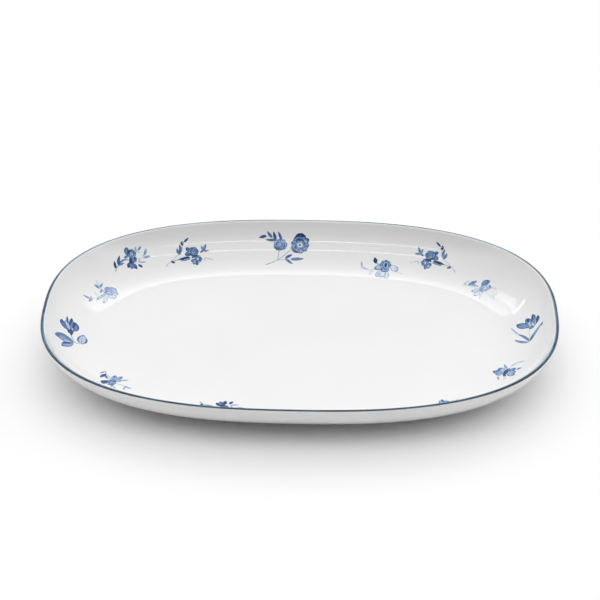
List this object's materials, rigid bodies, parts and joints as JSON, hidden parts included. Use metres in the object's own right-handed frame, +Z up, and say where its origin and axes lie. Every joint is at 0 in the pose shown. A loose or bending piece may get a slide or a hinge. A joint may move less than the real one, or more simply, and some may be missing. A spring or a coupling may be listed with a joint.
{
  "type": "china serving platter",
  "caption": "Oval glazed china serving platter with a coved wall, rounded lip, integral foot ring, fine blue rim line and scattered blue flower sprigs.",
  "frame": {"origin": "centre of the platter in plan, on the plane it stands on", "axes": "+X along the length, +Y across the width, +Z up out of the well"},
  "size_m": [0.3498, 0.2468, 0.033],
  "materials": {
    "white_glaze": "clear gloss glaze over white china",
    "rim_blue": "hand-banded teal blue line, gloss",
    "sprig_open_tulip_blue": "cobalt blue overglaze flowers, gloss",
    "sprig_light_blue": "cobalt blue overglaze flowers, gloss",
    "sprig_posy_right_blue": "cobalt blue overglaze flowers, gloss",
    "sprig_low_bloom_blue": "cobalt blue overglaze flowers, gloss",
    "sprig_rose_blue": "cobalt blue overglaze flowers, gloss",
    "sprig_posy_left_blue": "cobalt blue overglaze flowers, gloss",
    "sprig_round_bloom_blue": "cobalt blue overglaze flowers, gloss",
    "sprig_washed_blue": "cobalt blue overglaze flowers, gloss",
    "sprig_tulip_blue": "cobalt blue overglaze flowers, gloss",
    "sprig_light_near_blue": "cobalt blue overglaze flowers, gloss",
    "sprig_low_bloom_near_blue": "cobalt blue overglaze flowers, gloss",
    "sprig_round_bloom_near_blue": "cobalt blue overglaze flowers, gloss",
    "sprig_rose_near_blue": "cobalt blue overglaze flowers, gloss",
    "sprig_posy_near_blue": "cobalt blue overglaze flowers, gloss",
    "sprig_trailing_blue": "cobalt blue overglaze flowers, gloss"
  },
  "bodies": {
    "root": {"platter_body": "white_glaze", "rim_band": "rim_blue", "sprig_open_tulip": "sprig_open_tulip_blue", "sprig_light": "sprig_light_blue", "sprig_posy_right": "sprig_posy_right_blue", "sprig_low_bloom": "sprig_low_bloom_blue", "sprig_rose": "sprig_rose_blue", "sprig_posy_left": "sprig_posy_left_blue", "sprig_round_bloom": "sprig_round_bloom_blue", "sprig_washed": "sprig_washed_blue", "sprig_tulip": "sprig_tulip_blue", "sprig_light_near": "sprig_light_near_blue", "sprig_low_bloom_near": "sprig_low_bloom_near_blue", "sprig_round_bloom_near": "sprig_round_bloom_near_blue", "sprig_rose_near": "sprig_rose_near_blue", "sprig_posy_near": "sprig_posy_near_blue", "sprig_trailing": "sprig_trailing_blue"}
  },
  "joints": []
}
